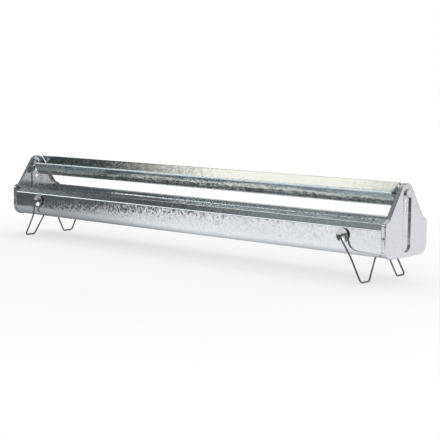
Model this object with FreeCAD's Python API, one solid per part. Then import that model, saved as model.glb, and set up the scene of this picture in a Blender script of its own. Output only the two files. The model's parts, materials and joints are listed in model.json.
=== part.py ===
import FreeCAD, Part
import math
import os

# Long galvanised trough feeder.  A rolled sheet trough is closed by two tall end plates.  A square
# sheet-metal reel spins between the plates on two pins, so that birds can't roost on it, and one
# pin is sprung so that the reel lifts out or moves to a lower pair of holes.  Two folding wire
# stands carry the trough at a high or a low level.
#
# Frame: millimetres, +X along the trough, +Z up, -Y is the front.  The origin is on the floor under
# the middle of the feeder when both stands are down.

V = FreeCAD.Vector

# ---- driving dimensions -------------------------------------------------------------------------

# Whole feeder
feeder_length = 914.4        # over the outer faces of the two end plates
plate_half_width = 58.2      # outside of the end plate's flange, from the centre plane
plate_height = 116.7         # from the trough's bottom to the top of the end plate
sheet = 0.8                  # galvanised sheet of the trough and the end plates
seam_gap = 0.1               # between the trough and the flange that wraps it
weld_gap = 0.05              # between pieces that are pressed or welded together

# Trough
corner_radius = 18.0         # outside of the rounded bottom corners of the end plate
lip_bend_height = 45.5       # where the wall turns in, above the trough's bottom
rim_height = 55.5            # highest point of the hem, above the trough's bottom
rim_inset = 8.6              # how far the lip leans in from the wall
lip_bend_radius = 2.5
hem_radius = 1.3
hem_depth = 6.5

# End plates
flange_depth = 8.0
shoulder_height = 56.8
shoulder_radius = 6.0
taper_foot_inset = 11.6      # from the flange's outside to the foot of the taper
taper_foot_height = 61.6
taper_foot_radius = 6.0
top_half_width = 9.7
top_rounding = 0.963         # share of the flat top that its two rounded corners take
plate_edge_radius = 1.6      # bend between the face and the flange
notch_width = 1.0            # relief notches round the bottom corners of the flange
notch_depth = 4.0
notches_per_corner = 3

# Channel pressed into each end plate, and bearing pocket pressed out of it above a slit
channel_half_width = 11.5
channel_low = 7.0
channel_gap = 1.8            # from the channel's top to the pocket
channel_depth = 2.6
channel_top_radius = 2.0
pocket_half_width = 7.7
pocket_from_top = 9.1        # from the plate's top to the pocket's top
pocket_height = 10.6
pocket_depth = 3.0
pocket_low_radius = 0.8
slit_height = 1.2            # open gap under the pocket, which lets the pin rest on the sheet
emboss_edge_radius = 1.0

# Bearings
pin_diameter = 5.0
pin_clearance = 0.1          # all round a pin that turns or slides
spare_hole_drops = (9.5, 22.7)   # below the reel's axis: its two lower positions
spare_hole_diameter = 6.2

# Reel
reel_end_gap = 17.2          # from an end plate's face to the reel's end
reel_side = 28.5
reel_sheet = 0.7
reel_corner_radius = 2.6
reel_rest_turn = 12.8        # degrees past a diamond, at rest
reel_seam_lap = 6.0          # the sheet's edges overlap this much along one face
seam_end_gap = 4.0           # from the lap's ends to the cups
cap_recess = 1.5
cap_flange = 8.0
window_length = 38.0         # one face is cut away over the sprung pin, from the reel's end
window_edge = 1.0            # what is left of that face beside its corners
pin_end_gap = 0.5            # between a pin's tip and the pocket's bottom
pin_tip_chamfer = 1.0
pin_head_diameter = 10.0
pin_head_thickness = 1.5

# Sprung pin
guide_distance = 62.0        # from the reel's end to the inner guide cup
pin_tail_gap = 0.15          # between the pin's peened tail and the inner guide cup
tab_distance = 8.0           # from the reel's end to the finger tab
tab_thickness = 1.5
tab_half_width = 4.5
tab_setback = 2.05           # from the tube's inner face to the tab's lug
tab_curl = 4.0
spring_wire = 0.9
spring_diameter = 9.0
spring_turns = 7.0
spring_arcs_per_turn = 8
spring_gap = 0.3

# Wire stands
stand_wire = 3.0
stand_pivot_height = 33.0    # above the trough's bottom
stand_pivot_from_end = 81.2
stand_off = 9.8              # wire centre to the wall, at the pivot
stand_knee_drop = 33.0       # pivot to the bend in the outer strand
stand_knee_out = 17.0
stand_knee_off = 2.4
stand_foot_drop = 72.0       # pivot to the foot's centreline
stand_foot_out = 39.0
stand_foot_off = 3.6
stand_foot_width = 22.2
stand_run_out = 35.0         # pivot to the run that crosses under the trough
stand_run_half = 16.6
stand_run_gap = 0.3          # run to the trough's bottom, at the stop
stand_bend_radius = 5.0
pivot_clearance = 0.1

# Pivot cups outside the wall and caps on the wire's ends inside
cup_radius = 11.5
cup_seat_radius = 4.6
cup_depth = 2.6
cup_sheet = 0.8
cap_nut_radius = 5.0
cap_nut_length = 4.5
cap_nut_gap = 0.35           # cap to the wall's inner face
cap_nut_grip = 3.0

# Rivets through the flange and the trough's wall
rivet_height = 33.0
rivet_hole = 3.2
rivet_head = 5.6
rivet_head_thickness = 1.1

# ---- derived dimensions -------------------------------------------------------------------------

foot_radius = stand_wire / 2
base = stand_foot_drop - stand_pivot_height + foot_radius      # trough's bottom above the floor
half_length = feeder_length / 2
wall_outer = plate_half_width - sheet - seam_gap               # trough wall's outer face
wall_middle = wall_outer - sheet / 2
pan_bottom = sheet + seam_gap                                  # outer face, above the plate's bottom
pan_half_length = half_length - plate_edge_radius - seam_gap
taper_foot_half_width = plate_half_width - taper_foot_inset
taper_rise = plate_height - taper_foot_height
taper_run = taper_foot_half_width - top_half_width
top_radius = top_rounding * top_half_width / math.tan(math.atan2(taper_rise, taper_run) / 2)
pocket_high = plate_height - pocket_from_top
pocket_low = pocket_high - pocket_height
channel_high = pocket_low - channel_gap
axis_height = base + pocket_low - slit_height + pin_clearance + pin_diameter / 2
pivot_height = base + stand_pivot_height
pivot_x = half_length - stand_pivot_from_end
reel_half_length = half_length - reel_end_gap
reel_inner = reel_side - 2 * reel_sheet
tab_reach = reel_inner / 2 - tab_setback
reel_turn = -45.0 - reel_rest_turn
cap_face = reel_half_length - cap_recess - sheet               # inner face of the right cup's disc
window_cap_face = -reel_half_length + window_length           # outer face of the left cup's disc
end_sign = {"left": -1, "right": 1}


# ---- drawing helpers ----------------------------------------------------------------------------

def in_yz(x):
    """Place a (y, z) point in the plane at x."""
    return lambda point: V(x, point[0], point[1])


def unit(a, b):
    """Unit vector from a to b."""
    return (b - a).normalize()


def rounded_path(points, radii, closed):
    """Edges through the points, with each corner rounded to its radius."""
    count = len(points)
    edges = []
    starts = []
    ends = []
    for i, corner in enumerate(points):
        radius = radii[i]
        if radius <= 0 or (not closed and i in (0, count - 1)):
            starts.append(corner)
            ends.append(corner)
            edges.append(None)
            continue
        before = unit(points[i - 1], corner)
        after = unit(corner, points[(i + 1) % count])
        turn = before.getAngle(after)
        reach = radius * math.tan(turn / 2)
        inward = (after - before).normalize()
        middle = corner + inward * (radius / math.cos(turn / 2) - radius)
        starts.append(corner - before * reach)
        ends.append(corner + after * reach)
        edges.append(Part.Arc(starts[-1], middle, ends[-1]).toShape())
    path = []
    last = count if closed else count - 1
    for i in range(count):
        if edges[i] is not None:
            path.append(edges[i])
        if i < last:
            target = starts[(i + 1) % count]
            if (target - ends[i]).Length > 1e-6:
                path.append(Part.LineSegment(ends[i], target).toShape())
    return Part.Wire(Part.__sortEdges__(path))


def offset_corners(points, distance, closed=True):
    """Move a flat outline sideways, to its left for a positive distance."""
    count = len(points)
    moved = []
    for i, (a, b) in enumerate(points):
        normals = []
        for j, k in ((i - 1, i), (i, i + 1)):
            if not closed and (j < 0 or k >= count):
                continue
            p = points[j % count]
            q = points[k % count]
            length = math.hypot(q[0] - p[0], q[1] - p[1])
            normals.append(((p[1] - q[1]) / length, (q[0] - p[0]) / length))
        if len(normals) == 1:
            normals = normals * 2
        (ax, ay), (bx, by) = normals
        scale = distance / (1 + ax * bx + ay * by)
        moved.append((a + (ax + bx) * scale, b + (ay + by) * scale))
    return moved


def turns_left(points, i):
    """True where a closed or open outline turns left at corner i."""
    p = points[i - 1]
    q = points[i]
    r = points[(i + 1) % len(points)]
    return (q[0] - p[0]) * (r[1] - q[1]) - (q[1] - p[1]) * (r[0] - q[0]) > 0


def prism(points, radii, place, direction):
    """Solid of a closed rounded outline, drawn along a direction."""
    wire = rounded_path([place(p) for p in points], radii, True)
    return Part.Face(wire).extrude(direction)


def bent_sheet(points, radii, thickness, place, direction):
    """Solid of sheet metal whose middle line is an open path with bend radii."""
    half = thickness / 2
    left = offset_corners(points, half, False)
    right = offset_corners(points, -half, False)
    last = len(points) - 1
    left_radii = []
    right_radii = []
    for i, radius in enumerate(radii):
        if i in (0, last):
            left_radii.append(0)
            right_radii.append(0)
            continue
        change = -half if turns_left(points, i) else half
        left_radii.append(radius + change)
        right_radii.append(radius - change)
    outline = left + right[::-1]
    return prism(outline, left_radii + right_radii[::-1], place, direction)


def inset(points, radii, distance):
    """Shrink a closed outline that is drawn anticlockwise."""
    smaller = offset_corners(points, distance)
    new_radii = []
    for i, radius in enumerate(radii):
        change = -distance if turns_left(points, i) else distance
        new_radii.append(max(radius + change, 0) if radius > 0 else 0)
    return smaller, new_radii


def cylinder_x(radius, start, end, y, z):
    """Cylinder along X from start to end."""
    return Part.makeCylinder(radius, end - start, V(start, y, z), V(1, 0, 0))


def cylinder_y(radius, start, end, x, z):
    """Cylinder along Y from start to end."""
    return Part.makeCylinder(radius, end - start, V(x, start, z), V(0, 1, 0))


def mirrored_x(shape):
    """The same piece at the other end of the feeder."""
    return shape.mirror(V(0, 0, 0), V(1, 0, 0))


def turned_with_reel(shape):
    """Turn a reel piece, drawn square, to its rest angle."""
    copy = shape.copy()
    copy.rotate(V(0, 0, axis_height), V(1, 0, 0), reel_turn)
    return copy


def save(name, shape):
    """Write one node."""
    shape.exportStep("parts/" + name + ".step")


# ---- trough -------------------------------------------------------------------------------------

def trough_section():
    """Middle line of the trough's sheet, from the rear hem to the front hem, with its radii."""
    rim_y = wall_middle - rim_inset
    bottom = base + pan_bottom + sheet / 2
    fold_turn = math.pi / 2 + math.atan2(rim_height - lip_bend_height, rim_inset)
    sharp = (hem_radius + sheet / 2) * (1 / math.cos(fold_turn / 2) - 1) * math.sin(fold_turn / 2)
    rim_z = base + rim_height - sheet / 2 + sharp
    rear = [
        (rim_y, base + rim_height - hem_depth),
        (rim_y, rim_z),
        (wall_middle, base + lip_bend_height),
        (wall_middle, bottom),
    ]
    front = [(-y, z) for y, z in rear[::-1]]
    bottom_radius = corner_radius - sheet * 1.5 - seam_gap
    radii = [0, hem_radius, lip_bend_radius, bottom_radius]
    return rear + front, radii + radii[::-1]


def trough_pan():
    """The trough, with holes for the stands' pivots and the rivets."""
    points, radii = trough_section()
    length = V(2 * pan_half_length, 0, 0)
    pan = bent_sheet(points, radii, sheet, in_yz(-pan_half_length), length)
    pivot_hole = stand_wire / 2 + pivot_clearance
    for side in (-1, 1):
        pan = pan.cut(cylinder_y(pivot_hole, -plate_half_width, plate_half_width,
                                 side * pivot_x, pivot_height))
        pan = pan.cut(cylinder_y(rivet_hole / 2, -plate_half_width, plate_half_width,
                                 side * rivet_x(), base + rivet_height))
    return pan


# ---- end plates ---------------------------------------------------------------------------------

def plate_outline():
    """Outer outline of an end plate, anticlockwise in (y, z), with its radii."""
    half = [
        (plate_half_width, base),
        (plate_half_width, base + shoulder_height),
        (taper_foot_half_width, base + taper_foot_height),
        (top_half_width, base + plate_height),
    ]
    radii = [corner_radius, shoulder_radius, taper_foot_radius, top_radius]
    other = [(-y, z) for y, z in half[::-1]]
    return half + other, radii + radii[::-1]


def channel_outline():
    """Pressed channel: square at its top, round at its bottom."""
    w = channel_half_width
    corners = [(-w, channel_low), (w, channel_low), (w, channel_high), (-w, channel_high)]
    round_end = w - 0.05
    radii = [round_end, round_end, channel_top_radius, channel_top_radius]
    return [(y, base + z) for y, z in corners], radii


def pocket_outline():
    """Arch-shaped pocket that the reel's pin rests in."""
    w = pocket_half_width
    corners = [(-w, pocket_low), (w, pocket_low), (w, pocket_high), (-w, pocket_high)]
    round_end = w - 0.05
    radii = [pocket_low_radius, pocket_low_radius, round_end, round_end]
    return [(y, base + z) for y, z in corners], radii


def with_channel(plate):
    """Press the channel inwards from the right-hand plate's face."""
    points, radii = channel_outline()
    floor_x = half_length - sheet - channel_depth
    root_x = half_length - sheet / 2
    pad = prism(points, radii, in_yz(root_x), V(floor_x - root_x, 0, 0))
    rim = [e for e in pad.Edges if e.BoundBox.XMax < floor_x + 0.01]
    pad = pad.makeFillet(emboss_edge_radius, rim)
    hollow_points, hollow_radii = inset(points, radii, sheet)
    hollow = prism(hollow_points, hollow_radii, in_yz(floor_x + sheet),
                   V(channel_depth + 2 * sheet, 0, 0))
    return plate.fuse(pad).cut(hollow)


def with_pocket(plate):
    """Press the bearing pocket outwards, and open the slit under it."""
    points, radii = pocket_outline()
    top_x = half_length + pocket_depth
    pad = prism(points, radii, in_yz(half_length - sheet / 2), V(pocket_depth + sheet / 2, 0, 0))
    rim = [e for e in pad.Edges if e.BoundBox.XMin > top_x - 0.01]
    pad = pad.makeFillet(emboss_edge_radius, rim)
    hollow_points, hollow_radii = inset(points, radii, sheet)
    low = base + pocket_low - slit_height
    hollow_points = [(y, low) for y, z in hollow_points[:2]] + hollow_points[2:]
    hollow = prism(hollow_points, hollow_radii, in_yz(half_length - 2 * sheet),
                   V(pocket_depth + sheet, 0, 0))
    return plate.fuse(pad).cut(hollow)


def relief_notches():
    """Cutters for the small notches round the two bottom corners of the flange."""
    centre_y = plate_half_width - corner_radius
    centre_z = base + corner_radius
    cutters = []
    for side in (-1, 1):
        for i in range(notches_per_corner):
            turn = 90.0 * (i + 1) / (notches_per_corner + 1)
            cutter = Part.makeBox(2 * notch_depth, 4 * sheet, notch_width)
            cutter.translate(V(half_length - flange_depth - notch_depth,
                               corner_radius - 2 * sheet, -notch_width / 2))
            cutter.rotate(V(0, 0, 0), V(1, 0, 0), -turn)
            cutter.translate(V(0, centre_y, centre_z))
            if side < 0:
                cutter = cutter.mirror(V(0, 0, 0), V(0, 1, 0))
            cutters.append(cutter)
    return cutters


def end_plate():
    """The right-hand end plate."""
    points, radii = plate_outline()
    inner_points, inner_radii = inset(points, radii, sheet)
    start = half_length - flange_depth
    body = prism(points, radii, in_yz(start), V(flange_depth, 0, 0))
    face_edges = [e for e in body.Edges if e.BoundBox.XMin > half_length - 0.01]
    body = body.makeFillet(plate_edge_radius, face_edges)
    inside = prism(inner_points, inner_radii, in_yz(start - 1), V(flange_depth - sheet + 1, 0, 0))
    inside_edges = [e for e in inside.Edges if e.BoundBox.XMin > half_length - sheet - 0.01]
    inside = inside.makeFillet(plate_edge_radius - sheet, inside_edges)
    plate = body.cut(inside)
    plate = with_pocket(with_channel(plate))
    for drop in spare_hole_drops:
        plate = plate.cut(cylinder_x(spare_hole_diameter / 2, half_length - 20, half_length + 20,
                                     0, axis_height - drop))
    plate = plate.cut(cylinder_y(rivet_hole / 2, -plate_half_width - 1, plate_half_width + 1,
                                 rivet_x(), base + rivet_height))
    for cutter in relief_notches():
        plate = plate.cut(cutter)
    return plate.removeSplitter()


# ---- rivets -------------------------------------------------------------------------------------

def rivet_x():
    """Distance of the rivets from the feeder's middle."""
    return half_length - flange_depth + rivet_head / 2 + 0.6


def end_rivets():
    """The two rivets that tie the right-hand plate's flange to the trough's walls."""
    z = base + rivet_height
    x = rivet_x()
    outside = plate_half_width + weld_gap
    inside = wall_outer - sheet - weld_gap
    shank_radius = rivet_hole / 2 - weld_gap
    solids = []
    for side in (-1, 1):
        shank = cylinder_y(shank_radius, inside - 0.2, outside + 0.2, x, z)
        dome = rivet_dome(outside, 1)
        tail = rivet_dome(inside, -1)
        rivet = shank.fuse(dome).fuse(tail).removeSplitter()
        if side < 0:
            rivet = rivet.mirror(V(0, 0, 0), V(0, 1, 0))
        solids.append(rivet)
    return Part.makeCompound(solids)


def rivet_dome(seat, direction):
    """A domed rivet head on the plane y = seat."""
    rise = rivet_head_thickness
    half = rivet_head / 2
    ball = (half * half + rise * rise) / (2 * rise)
    x = rivet_x()
    z = base + rivet_height
    sphere = Part.makeSphere(ball, V(x, seat + direction * (rise - ball), z))
    low = seat if direction > 0 else seat - rise
    keep = Part.makeBox(rivet_head + 1, rise, rivet_head + 1,
                        V(x - half - 0.5, low, z - half - 0.5))
    return sphere.common(keep)


# ---- reel ---------------------------------------------------------------------------------------

def square_points(side):
    """Corners of a square about the reel's axis, anticlockwise in (y, z)."""
    h = side / 2
    return [(y, axis_height + z) for y, z in ((-h, -h), (h, -h), (h, h), (-h, h))]


def reel_tube():
    """Square tube folded from one sheet, with a finger window over the sprung pin."""
    outer_radii = [reel_corner_radius] * 4
    inner_radii = [reel_corner_radius - reel_sheet] * 4
    length = V(2 * reel_half_length, 0, 0)
    outer = prism(square_points(reel_side), outer_radii, in_yz(-reel_half_length), length)
    inner = prism(square_points(reel_inner), inner_radii, in_yz(-reel_half_length), length)
    tube = outer.cut(inner)
    window_half = reel_side / 2 - reel_corner_radius - window_edge
    window = Part.makeBox(window_length + 1, reel_sheet + 2, 2 * window_half)
    window.translate(V(-reel_half_length - 1, -reel_side / 2 - 1, axis_height - window_half))
    tube = tube.cut(window)
    return turned_with_reel(tube)


def reel_seam():
    """Strip of the sheet's lapped edge, along the inside of the tube's rear face."""
    free = reel_half_length - guide_distance - cap_flange - seam_end_gap
    inner_face = reel_inner / 2 - weld_gap
    strip = Part.makeBox(2 * free, reel_sheet, reel_seam_lap)
    strip.translate(V(-free, inner_face - reel_sheet, axis_height - reel_seam_lap / 2))
    return turned_with_reel(strip)


def square_cup(face_x, direction, hole_radius):
    """Square cup pressed into the reel.  Its disc is at face_x, its flange runs in a direction."""
    side = reel_inner - 2 * weld_gap
    outer_radius = reel_corner_radius - reel_sheet
    depth = direction * cap_flange
    body = prism(square_points(side), [outer_radius] * 4, in_yz(face_x), V(depth, 0, 0))
    pocket = prism(square_points(side - 2 * sheet), [0.0] * 4,
                   in_yz(face_x + direction * sheet), V(depth, 0, 0))
    hole = cylinder_x(hole_radius, face_x - cap_flange * 2, face_x + cap_flange * 2,
                      0, axis_height)
    return turned_with_reel(body.cut(pocket).cut(hole))


def reel_cap_right():
    """Cup that carries the fixed pin."""
    return square_cup(cap_face + sheet, -1, pin_diameter / 2 + weld_gap)


def reel_cap_left():
    """Cup that guides the sprung pin at the inner end of the finger window."""
    return square_cup(window_cap_face, 1, pin_diameter / 2 + pin_clearance)


def pin_guide():
    """Inner guide cup of the sprung pin."""
    return square_cup(guide_face(), 1, pin_diameter / 2 + pin_clearance)


def guide_face():
    """Outer face of the inner guide cup, at the reel's left end."""
    return -reel_half_length + guide_distance


def pin_tip():
    """Distance of a pin's tip from the feeder's middle."""
    return half_length + pocket_depth - sheet - pin_end_gap


def chamfered_pin(start, end):
    """Pin along X, chamfered at its outer end, which is the one further from the middle."""
    pin = cylinder_x(pin_diameter / 2, start, end, 0, axis_height)
    tip = start if abs(start) > abs(end) else end
    edges = [e for e in pin.Edges if abs(e.CenterOfMass.x - tip) < 0.01
             and abs(e.BoundBox.XLength) < 0.01]
    return pin.makeChamfer(pin_tip_chamfer, edges)


def reel_pin_right():
    """Fixed pin, headed on the inside of its cap."""
    head_end = cap_face - weld_gap
    pin = chamfered_pin(head_end - pin_head_thickness, pin_tip())
    head = cylinder_x(pin_head_diameter / 2, head_end - pin_head_thickness, head_end,
                      0, axis_height)
    return pin.fuse(head).removeSplitter()


def reel_pin_left():
    """Sprung pin, peened at its tail, which stops it against the inner guide cup."""
    tail_start = guide_face() + sheet + pin_tail_gap
    tail_end = tail_start + pin_head_thickness
    pin = chamfered_pin(-pin_tip(), tail_end)
    tail = cylinder_x(pin_head_diameter / 2, tail_start, tail_end, 0, axis_height)
    return pin.fuse(tail).removeSplitter()


def tab_face():
    """Face of the finger tab that the spring bears on."""
    return -reel_half_length + tab_distance + tab_thickness


def pin_finger_tab():
    """Plate crimped on the sprung pin, with a lug under the finger window."""
    plane_x = tab_face() - tab_thickness
    low = axis_height - tab_half_width
    plate = Part.makeBox(tab_thickness, tab_reach + tab_half_width, 2 * tab_half_width)
    plate.translate(V(plane_x, -tab_reach, low))
    lug = Part.makeBox(tab_curl, tab_thickness, 2 * tab_half_width)
    lug.translate(V(plane_x - tab_curl + tab_thickness, -tab_reach, low))
    hole = cylinder_x(pin_diameter / 2 + weld_gap, plane_x - 1, tab_face() + 1, 0, axis_height)
    return turned_with_reel(plate.fuse(lug).removeSplitter().cut(hole))


def pin_spring():
    """Coil spring round the sprung pin, between the finger tab and the cup behind it."""
    start = tab_face() + spring_gap + spring_wire / 2
    end = window_cap_face - spring_gap - spring_wire / 2
    radius = (spring_diameter - spring_wire) / 2
    count = round(spring_turns * spring_arcs_per_turn)

    def coil_point(step):
        angle = 2 * math.pi * step / spring_arcs_per_turn
        return V(start + (end - start) * step / count, radius * math.cos(angle),
                 axis_height + radius * math.sin(angle))

    arcs = [Part.Arc(coil_point(i), coil_point(i + 0.5), coil_point(i + 1)) for i in range(count)]
    path = Part.Wire([arc.toShape() for arc in arcs])
    heading = V((end - start) / spring_turns, 0, 2 * math.pi * radius)
    profile = Part.Wire(Part.makeCircle(spring_wire / 2, coil_point(0), heading))
    return path.makePipeShell([profile], True, True)


# ---- wire stands --------------------------------------------------------------------------------

def stand_run_height():
    """Centre height of the run that crosses under the trough."""
    return base - stand_run_gap - stand_wire / 2


def stand_path():
    """Centreline corners of the right-hand stand, from the front wall round to the rear wall."""
    wall = plate_half_width - sheet
    foot = foot_radius
    inner_foot = wall + stand_foot_off - stand_foot_width
    front = [
        (pivot_x, wall_outer - sheet - cap_nut_gap - cap_nut_grip, pivot_height),
        (pivot_x, wall + stand_off, pivot_height),
        (pivot_x + stand_knee_out, wall + stand_knee_off, pivot_height - stand_knee_drop),
        (pivot_x + stand_foot_out, wall + stand_foot_off, foot),
        (pivot_x + stand_foot_out, inner_foot, foot),
        (pivot_x + stand_run_out, stand_run_half, stand_run_height()),
    ]
    near = [V(x, -y, z) for x, y, z in front]
    far = [V(x, y, z) for x, y, z in front[::-1]]
    return near + far


def wire_stand():
    """The right-hand stand, bent from one wire."""
    points = stand_path()
    radii = [stand_bend_radius] * len(points)
    path = rounded_path(points, radii, False)
    start = points[0]
    profile = Part.Wire(Part.makeCircle(stand_wire / 2, start, points[1] - start))
    return path.makePipeShell([profile], True, True)


def pivot_cup(end, side):
    """Dished cup outside the wall that the stand's wire turns in."""
    seat = wall_outer + weld_gap
    profile = [(cup_bore(), 0), (cup_seat_radius, 0), (cup_radius, cup_depth)]
    wall = [(r, h + cup_sheet) for r, h in profile]
    outline = profile + wall[::-1]
    radii = [0, 1.2, 0, 0, 1.2, 0]
    wire = rounded_path([V(r, h, 0) for r, h in outline], radii, True)
    cup = Part.Face(wire).revolve(V(0, 0, 0), V(0, 1, 0), 360)
    cup.translate(V(end_sign[end] * pivot_x, seat, pivot_height))
    if side == "front":
        cup = cup.mirror(V(0, 0, 0), V(0, 1, 0))
    return cup


def cup_bore():
    """Radius of a pivot cup's hole."""
    return stand_wire / 2 + pivot_clearance


def pivot_cap(end, side):
    """Cap pressed on the wire's end inside the trough."""
    outer = wall_outer - sheet - cap_nut_gap
    x = end_sign[end] * pivot_x
    body = cylinder_y(cap_nut_radius, outer - cap_nut_length, outer, x, pivot_height)
    rim = [e for e in body.Edges if e.CenterOfMass.y < outer - cap_nut_length + 0.01
           and e.BoundBox.YLength < 0.01]
    body = body.makeFillet(cap_nut_radius * 0.3, rim)
    socket = cylinder_y(stand_wire / 2 + weld_gap, outer - cap_nut_grip - weld_gap, outer + 1,
                        x, pivot_height)
    cap = body.cut(socket)
    if side == "front":
        cap = cap.mirror(V(0, 0, 0), V(0, 1, 0))
    return cap


# ---- build --------------------------------------------------------------------------------------

def build():
    """Every node, by name."""
    plate = end_plate()
    rivets = end_rivets()
    stand = wire_stand()
    nodes = {
        "trough_pan": trough_pan(),
        "end_plate_right": plate,
        "end_plate_left": mirrored_x(plate),
        "end_rivets_right": rivets,
        "end_rivets_left": mirrored_x(rivets),
        "reel_tube": reel_tube(),
        "reel_seam_strip": reel_seam(),
        "reel_cap_right": reel_cap_right(),
        "reel_cap_left": reel_cap_left(),
        "reel_pin_right": reel_pin_right(),
        "reel_pin_left": reel_pin_left(),
        "pin_guide": pin_guide(),
        "pin_finger_tab": pin_finger_tab(),
        "pin_spring": pin_spring(),
        "wire_stand_right": stand,
        "wire_stand_left": mirrored_x(stand),
    }
    for end in ("left", "right"):
        for side in ("front", "rear"):
            nodes["pivot_cup_" + side + "_" + end] = pivot_cup(end, side)
            nodes["pivot_cap_" + side + "_" + end] = pivot_cap(end, side)
    return nodes


os.makedirs("parts", exist_ok=True)
for node, shape in build().items():
    save(node, shape)
    print(node, len(shape.Solids), shape.isValid(), round(shape.Volume, 1))
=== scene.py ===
import json
import math

import bpy
from mathutils import Matrix, Vector


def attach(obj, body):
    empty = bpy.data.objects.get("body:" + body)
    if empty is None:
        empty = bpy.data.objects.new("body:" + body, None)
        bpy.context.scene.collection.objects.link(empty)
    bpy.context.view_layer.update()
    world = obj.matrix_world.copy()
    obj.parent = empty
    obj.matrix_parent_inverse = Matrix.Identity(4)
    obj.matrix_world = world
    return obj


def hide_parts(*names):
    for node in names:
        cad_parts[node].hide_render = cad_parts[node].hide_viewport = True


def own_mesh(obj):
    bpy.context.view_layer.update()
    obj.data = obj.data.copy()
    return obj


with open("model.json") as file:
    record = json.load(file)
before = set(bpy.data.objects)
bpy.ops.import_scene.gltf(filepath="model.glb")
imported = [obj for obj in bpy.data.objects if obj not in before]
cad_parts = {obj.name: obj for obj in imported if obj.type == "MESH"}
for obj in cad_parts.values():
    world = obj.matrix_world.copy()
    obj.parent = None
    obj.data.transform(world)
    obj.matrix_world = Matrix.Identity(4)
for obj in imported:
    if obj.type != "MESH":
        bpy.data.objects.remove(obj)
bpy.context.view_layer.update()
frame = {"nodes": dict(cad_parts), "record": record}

# ---- camera and stage ---------------------------------------------------------------------------

CAMERA_PLACE = (1.5147, -1.5961, 0.3166)
CAMERA_YAW = math.radians(42.34)
CAMERA_PITCH = math.radians(6.62)
CAMERA_ROLL = math.radians(0.47)
CAMERA_LENS = 99.3

WHITE = (1, 1, 1, 1)

# The surround that the metal reflects.  The camera sees none of it except in the metal.
ROOM = (0.022, 0.030, 0.033)
ROOM_RIGHT = (0.10, 0.118, 0.125)
BACKDROP = (0.84, 0.86, 0.90)
WINDOW_LOW = (0.30, 0.38, 0.42)
WINDOW_HIGH = (1.85, 1.98, 1.98)
BOX_FRONT = (0.80, 0.92, 1.0)
BOX_MIDDLE = (1.13, 1.08, 0.93)
BOX_BACK = (0.36, 0.44, 0.48)
BOX_SHIFT = 1.4     # brings the box's sideways slope, x / z, into a ramp's 0 to 1
BOX_ACROSS = [(0.24, 0.0), (0.29, 0.16), (0.36, 0.46), (0.42, 0.95), (0.63, 0.94), (0.70, 0.52)]
TABLE = (0.92, 0.925, 0.94)
TABLE_END = (0.05, 0.062, 0.066)
TABLE_BACK_LEFT_DIM = 0.60
# How far the painted shadow under the feeder darkens the reflected table.
TABLE_UNDER_SHADOW = 0.50

# The floor that the camera sees, and the light that falls on it from all round.
FLOOR_HALF_SIZE = 12.0
FLOOR_DROP = 0.0004     # keeps the floor off the wires' undersides
FLOOR_CLOTH = (0.93, 0.93, 0.94, 1)
FLOOR_NEAR_WHITE = 0.62     # how far the cloth is already whitened next to the feeder
FILL_STRENGTH = 0.75

# What all the zinc has in common.  Lengths are in metres.
# Painted shade: the dark brown that the zinc turns towards in corners and recesses, and how far
# around them ambient occlusion looks.
CORNER_SHADE_COLOUR = (0.16, 0.15, 0.13)
CORNER_SHADE_REACH = 0.006
ZINC_BLOOM = (0.78, 0.79, 0.79)
PIT_DEPTH = 0.00006
ROLLING = (0.12, 1.0, 1.0)      # the rolled sheet's dents are drawn out along x
HAZE_ROUGHNESS = 0.55


def add_camera():
    """The photograph's viewpoint, in the model's own frame."""
    forward = Vector((-math.sin(CAMERA_YAW) * math.cos(CAMERA_PITCH),
                      math.cos(CAMERA_YAW) * math.cos(CAMERA_PITCH),
                      -math.sin(CAMERA_PITCH)))
    right = Vector((math.cos(CAMERA_YAW), math.sin(CAMERA_YAW), 0))
    up = right.cross(forward)
    tilted_right = right * math.cos(CAMERA_ROLL) + up * math.sin(CAMERA_ROLL)
    tilted_up = up * math.cos(CAMERA_ROLL) - right * math.sin(CAMERA_ROLL)
    data = bpy.data.cameras.new("camera")
    data.lens = CAMERA_LENS
    data.sensor_width = 36.0
    data.clip_end = 100.0
    camera = bpy.data.objects.new("camera", data)
    turn = Matrix((tilted_right, tilted_up, -forward)).transposed()
    camera.matrix_world = Matrix.Translation(CAMERA_PLACE) @ turn.to_4x4()
    bpy.context.scene.collection.objects.link(camera)
    bpy.context.scene.camera = camera


# ---- node helpers -------------------------------------------------------------------------------

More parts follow.
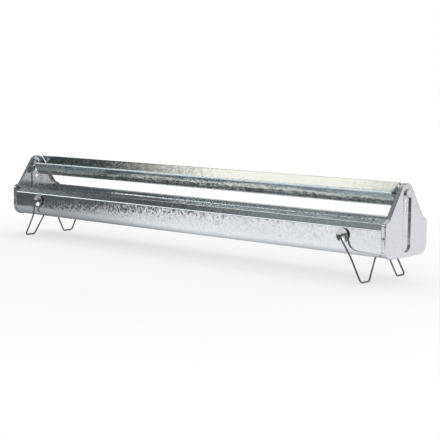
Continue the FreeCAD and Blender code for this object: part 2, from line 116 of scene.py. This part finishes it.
class Nodes:
    """A short way to write a node tree."""

    def __init__(self, tree):
        self.tree = tree
        tree.nodes.clear()

    def add(self, kind, settings=None, **inputs):
        """Add a node.

        Inputs are named with underscores for spaces, or i and a number, and hold a value or a
        socket.
        """
        node = self.tree.nodes.new("ShaderNode" + kind)
        for key, value in (settings or {}).items():
            setattr(node, key, value)
        for key, value in inputs.items():
            socket = node.inputs[int(key[1:]) if key[0] == "i" and key[1:].isdigit()
                                 else key.replace("_", " ")]
            if isinstance(value, bpy.types.NodeSocket):
                self.tree.links.new(value, socket)
            else:
                socket.default_value = value
        return node

    def math(self, operation, a, b=0.0, c=0.0):
        """One Math node's output."""
        return self.add("Math", {"operation": operation}, i0=a, i1=b, i2=c).outputs[0]

    def times(self, *values):
        """The product of two or more values."""
        total = values[0]
        for value in values[1:]:
            total = self.math("MULTIPLY", total, value)
        return total

    def rest(self, value):
        """What is left of 1."""
        return self.math("SUBTRACT", 1.0, value)

    def smooth(self, value, low, high):
        """A soft step from 0 at low to 1 at high."""
        return self.add("MapRange", {"interpolation_type": "SMOOTHSTEP"}, i0=value, i1=low,
                        i2=high).outputs[0]

    def ramp(self, factor, stops):
        """A colour ramp's output.  Stops are (place, grey or rgb)."""
        node = self.add("ValToRGB", Fac=factor)
        ramp = node.color_ramp
        while len(ramp.elements) < len(stops):
            ramp.elements.new(0.5)
        for element, (place, colour) in zip(ramp.elements, stops):
            rgb = (colour,) * 3 if isinstance(colour, (int, float)) else colour
            element.position = place
            element.color = (*rgb, 1)
        return node.outputs["Color"]

    def mix(self, factor, a, b, blend="MIX"):
        """A colour mix's output."""
        node = self.add("Mix", {"data_type": "RGBA", "blend_type": blend})
        for socket, value in ((node.inputs[0], factor), (node.inputs[6], a), (node.inputs[7], b)):
            if isinstance(value, bpy.types.NodeSocket):
                self.tree.links.new(value, socket)
            elif socket.type == "RGBA" and len(value) == 3:
                socket.default_value = (*value, 1)
            else:
                socket.default_value = value
        return node.outputs[2]


def add_world():
    """White to the camera, and a studio to the metal.

    The studio is a dark room with a soft box over and behind the feeder, a backdrop behind it
    and a window low in front at the left.  x, y and z are the direction of a reflected ray.
    """
    world = bpy.data.worlds.new("studio")
    world.use_nodes = True
    bpy.context.scene.world = world
    n = Nodes(world.node_tree)
    path = n.add("LightPath")
    axes = n.add("SeparateXYZ", Vector=n.add("TexCoord").outputs["Generated"])
    x, y, z = (axes.outputs[k] for k in "XYZ")
    height = n.math("MAXIMUM", z, 0.001)
    sideways = n.math("DIVIDE", x, height)
    backwards = n.math("DIVIDE", y, height)

    across = n.ramp(n.math("ADD", sideways, BOX_SHIFT), BOX_ACROSS)
    along = n.smooth(backwards, -0.80, 0.10)
    above = n.smooth(z, 0.30, 0.50)
    box = n.times(across, along, above)

    behind = n.smooth(n.math("ADD", y, n.times(x, 0.55)), 0.15, 0.60)
    low = n.rest(n.smooth(z, 0.25, 0.60))
    room = n.mix(n.times(behind, low), ROOM, BACKDROP)
    right = n.times(n.smooth(sideways, -1.15, -0.80), n.smooth(z, 0.25, 0.45))
    room = n.mix(right, room, ROOM_RIGHT)

    front_left = n.times(n.smooth(n.times(y, -1.0), 0.20, 0.50),
                         n.smooth(n.times(x, -1.0), 0.25, 0.55))
    window = n.times(n.smooth(z, -0.02, 0.10), n.rest(n.smooth(z, 0.44, 0.60)))
    pane = n.mix(n.smooth(z, 0.15, 0.33), WINDOW_LOW, WINDOW_HIGH)
    room = n.mix(n.times(front_left, window), room, pane)

    glow = n.mix(along, BOX_FRONT, BOX_MIDDLE)
    glow = n.mix(n.smooth(backwards, 0.42, 0.90), glow, BOX_BACK)
    lit = n.mix(box, room, glow)

    fill = n.add("Background", Color=WHITE, Strength=FILL_STRENGTH)
    seen = n.add("Background", Color=WHITE, Strength=1.0)
    shine = n.add("Background", Color=lit, Strength=1.0)
    first = n.add("MixShader", i0=path.outputs["Is Glossy Ray"], i1=fill.outputs[0],
                  i2=shine.outputs[0])
    second = n.add("MixShader", i0=path.outputs["Is Camera Ray"], i1=first.outputs[0],
                   i2=seen.outputs[0])
    n.add("OutputWorld", Surface=second.outputs[0])


def add_floor():
    """A pale cloth that fades to white for the camera, and a table to the metal.

    The table ends in the dark beyond the feeder's left and well in front of it.  It is dimmer
    at the back left, and a painted shadow darkens it under the feeder.  Places are in metres
    from the feeder's middle.
    """
    size = FLOOR_HALF_SIZE
    mesh = bpy.data.meshes.new("floor")
    corners = [(-size, -size, 0), (size, -size, 0), (size, size, 0), (-size, size, 0)]
    mesh.from_pydata(corners, [], [(0, 1, 2, 3)])
    floor = bpy.data.objects.new("floor", mesh)
    floor.location.z = -FLOOR_DROP
    bpy.context.scene.collection.objects.link(floor)
    material = bpy.data.materials.new("floor")
    material.use_nodes = True
    n = Nodes(material.node_tree)
    path = n.add("LightPath")
    place = n.add("TexCoord").outputs["Object"]

    far = n.add("VectorMath", {"operation": "LENGTH"}, i0=place).outputs["Value"]
    fade = n.math("MULTIPLY_ADD", n.smooth(far, 0.45, 0.95), 1 - FLOOR_NEAR_WHITE,
                  FLOOR_NEAR_WHITE)
    white = n.add("Emission", Color=WHITE, Strength=1.0)
    cloth = n.add("BsdfDiffuse", Color=FLOOR_CLOTH)
    seen = n.add("MixShader", i0=n.times(fade, path.outputs["Is Camera Ray"]),
                 i1=cloth.outputs[0], i2=white.outputs[0])

    spot = n.add("SeparateXYZ", Vector=place)
    x, y = spot.outputs["X"], spot.outputs["Y"]
    ragged = n.add("TexNoise", Vector=place, Scale=3.0, Detail=3.0).outputs["Fac"]
    left = n.math("ADD", n.math("MULTIPLY_ADD", ragged, 0.24, x), n.times(y, 1.6))
    front = n.math("SUBTRACT", n.times(x, 0.60), n.times(y, 0.79))
    back_left = n.smooth(n.math("SUBTRACT", y, x), -0.05, 0.30)
    # Painted shadow: the table that the metal reflects is darkened close under the feeder.
    beside = n.smooth(n.math("ABSOLUTE", y), 0.0, 0.11)
    beyond = n.smooth(n.math("ABSOLUTE", x), 0.44, 0.62)
    under = n.rest(n.math("MAXIMUM", beside, beyond))
    table = n.times(n.smooth(left, -1.470, -1.250), n.rest(n.smooth(front, 0.60, 0.85)),
                    n.rest(n.times(back_left, TABLE_BACK_LEFT_DIM)),
                    n.rest(n.times(under, TABLE_UNDER_SHADOW)))
    mirrored = n.add("Emission", Strength=1.0, Color=n.mix(table, TABLE_END, TABLE))
    shown = n.add("MixShader", i0=path.outputs["Is Glossy Ray"], i1=seen.outputs[0],
                  i2=mirrored.outputs[0])
    n.add("OutputMaterial", Surface=shown.outputs[0])
    mesh.materials.append(material)


def add_lamp(name, place, target, size, power):
    """A rectangular soft light that faces a point and isn't reflected itself."""
    data = bpy.data.lights.new(name, "AREA")
    data.shape = "RECTANGLE"
    data.size, data.size_y = size
    data.energy = power
    lamp = bpy.data.objects.new(name, data)
    lamp.location = place
    lamp.rotation_euler = (Vector(target) - Vector(place)).to_track_quat("-Z", "Y").to_euler()
    lamp.visible_glossy = False
    bpy.context.scene.collection.objects.link(lamp)


# ---- materials ----------------------------------------------------------------------------------

def metal(name, low, high, cell, rough, lean=0.010, wave=0.0004, corner_shading=0.35, grain_mix=0.40,
          bend=0.0004, haze=0.15):
    """Zinc on steel: small crystals that lean and shine differently, on sheet not quite flat.

    low and high are the tone's two ends, and rough the roughness of bright and dull crystals.
    cell is a crystal's size in metres, lean how far its face tilts, wave the height of the
    sheet's slow dents in metres, and corner_shading how far painted shade darkens the corners.
    grain_mix is how much of the tone goes by crystal, bend the radius in metres that sharp
    edges shine as if rounded to, and haze the share of the shine that spreads wide.
    """
    material = bpy.data.materials.new(name)
    material.use_nodes = True
    n = Nodes(material.node_tree)
    place = n.add("TexCoord").outputs["Object"]
    wander = n.add("TexNoise", Vector=place, Scale=0.8 / cell, Detail=3.0)
    bent = n.mix(0.4 * cell, place, wander.outputs["Color"])
    cells = n.add("TexVoronoi", Vector=bent, Scale=1 / cell)
    grain = n.add("SeparateColor", Color=cells.outputs["Color"])
    cloud = n.add("TexNoise", Vector=place, Scale=9.0, Detail=6.0, Roughness=0.6)
    mottle = n.add("TexNoise", Vector=place, Scale=70.0, Detail=4.0)
    tone = n.ramp(grain.outputs[0], [(0.0, low), (1.0, high)])
    patch = n.ramp(cloud.outputs["Fac"], [(0.32, low), (0.68, high)])
    zinc = n.mix(1 - grain_mix, tone, patch)
    bloom = n.smooth(n.times(mottle.outputs["Fac"], cloud.outputs["Fac"]), 0.30, 0.42)
    pale = n.mix(n.times(bloom, 0.30), zinc, ZINC_BLOOM)
    # Painted shade: ambient occlusion darkens the zinc in corners, creases and recesses.
    corner = n.add("AmbientOcclusion", {"samples": 6, "only_local": False}, Distance=CORNER_SHADE_REACH)
    open_air = n.smooth(corner.outputs["AO"], 0.15, 0.85)
    corner_shaded = n.mix(n.times(n.rest(open_air), corner_shading), pale, CORNER_SHADE_COLOUR)
    dull = n.smooth(grain.outputs[1], 0.45, 0.95)
    crystal = n.add("MapRange", i0=dull, i3=rough[0], i4=rough[1]).outputs[0]
    shine = n.math("MULTIPLY_ADD", bloom, 0.10, crystal)
    tilt = n.add("VectorMath", {"operation": "MULTIPLY_ADD"}, i0=cells.outputs["Color"],
                 i1=(2 * lean,) * 3, i2=(-lean,) * 3)
    rounded = n.add("Bevel", {"samples": 6}, Radius=bend)
    normal = n.add("VectorMath", {"operation": "ADD"}, i0=rounded.outputs[0],
                   i1=tilt.outputs[0])
    facing = n.add("VectorMath", {"operation": "NORMALIZE"}, i0=normal.outputs[0])
    rolled = n.add("Mapping", Vector=place, Scale=ROLLING)
    slow = n.add("TexNoise", Vector=rolled.outputs[0], Scale=34.0, Detail=2.0)
    dents = n.add("Bump", Strength=1.0, Distance=wave, Height=slow.outputs["Fac"],
                  Normal=facing.outputs[0])
    pits = n.add("Bump", Strength=0.25, Distance=PIT_DEPTH, Height=mottle.outputs["Fac"],
                 Normal=dents.outputs[0])
    shader = n.add("BsdfPrincipled", Base_Color=corner_shaded, Metallic=1.0, Roughness=shine,
                   Normal=pits.outputs[0])
    wide = n.add("BsdfPrincipled", Base_Color=corner_shaded, Metallic=1.0, Roughness=HAZE_ROUGHNESS,
                 Normal=pits.outputs[0])
    both = n.add("MixShader", i0=haze, i1=shader.outputs[0], i2=wide.outputs[0])
    n.add("OutputMaterial", Surface=both.outputs[0])
    return material


def paint(node_name, material):
    """Give a CAD node a material."""
    mesh = frame["nodes"][node_name].data
    mesh.materials.clear()
    mesh.materials.append(material)


def coil_that_shortens(material):
    """The pin's spring, a copy of its own that rides with the reel in place of the CAD node."""
    mesh = frame["nodes"]["pin_spring"].data.copy()
    coil = bpy.data.objects.new("spring_coil", mesh)
    bpy.context.scene.collection.objects.link(coil)
    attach(coil, "reel")
    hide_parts("pin_spring")
    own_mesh(coil)
    mesh.materials.clear()
    mesh.materials.append(material)


add_camera()
add_world()
add_floor()
add_lamp("key", (-0.2, 0.9, 1.6), (0, 0, 0.1), (1.6, 1.2), 9)
add_lamp("fill", (1.6, -1.8, 1.6), (0, 0, 0.1), (1.6, 1.6), 5)

sheet = metal("trough_zinc", (0.76, 0.78, 0.79), (0.93, 0.95, 0.96), 0.0032, (0.07, 0.14),
              lean=0.014, wave=0.0001, haze=0.12)
plate = metal("plate_zinc", (0.72, 0.73, 0.74), (0.82, 0.83, 0.84), 0.0050, (0.10, 0.22),
              lean=0.006, wave=0.0003, grain_mix=0.25, bend=0.0020)
reel = metal("reel_zinc", (0.78, 0.85, 0.89), (0.90, 0.95, 0.98), 0.0036, (0.06, 0.13),
             lean=0.010, wave=0.0008, grain_mix=0.25, bend=0.0030, haze=0.04)
# The cups take the deepest painted shade in their recesses.
cup = metal("cup_zinc", (0.60, 0.61, 0.62), (0.80, 0.81, 0.82), 0.0030, (0.14, 0.30),
            wave=0.0002, corner_shading=0.90)
wire = metal("wire_zinc", (0.20, 0.20, 0.20), (0.36, 0.355, 0.35), 0.0022, (0.14, 0.30),
             lean=0.015, wave=0.0001, corner_shading=0.5)
pin = metal("pin_zinc", (0.50, 0.51, 0.52), (0.70, 0.71, 0.72), 0.0020, (0.18, 0.38),
            wave=0.0001, corner_shading=0.5)
spring = metal("spring_wire", (0.30, 0.31, 0.33), (0.46, 0.47, 0.49), 0.0015, (0.28, 0.42),
               wave=0.0001, corner_shading=0.5)
finishes = {"galvanised_sheet": sheet, "galvanised_wire": wire, "plated_pin": pin,
            "spring_steel": spring}
slots = {s["node"]: s["material_slot"] for s in frame["record"]["subparts"]}
for name in frame["nodes"]:
    finish = finishes[slots[name]]
    if name.startswith("end_plate"):
        finish = plate
    elif name.startswith("pivot_cup"):
        finish = cup
    elif finish is sheet and name != "trough_pan":
        finish = reel
    paint(name, finish)
coil_that_shortens(spring)

bpy.context.scene.view_settings.view_transform = "Standard"
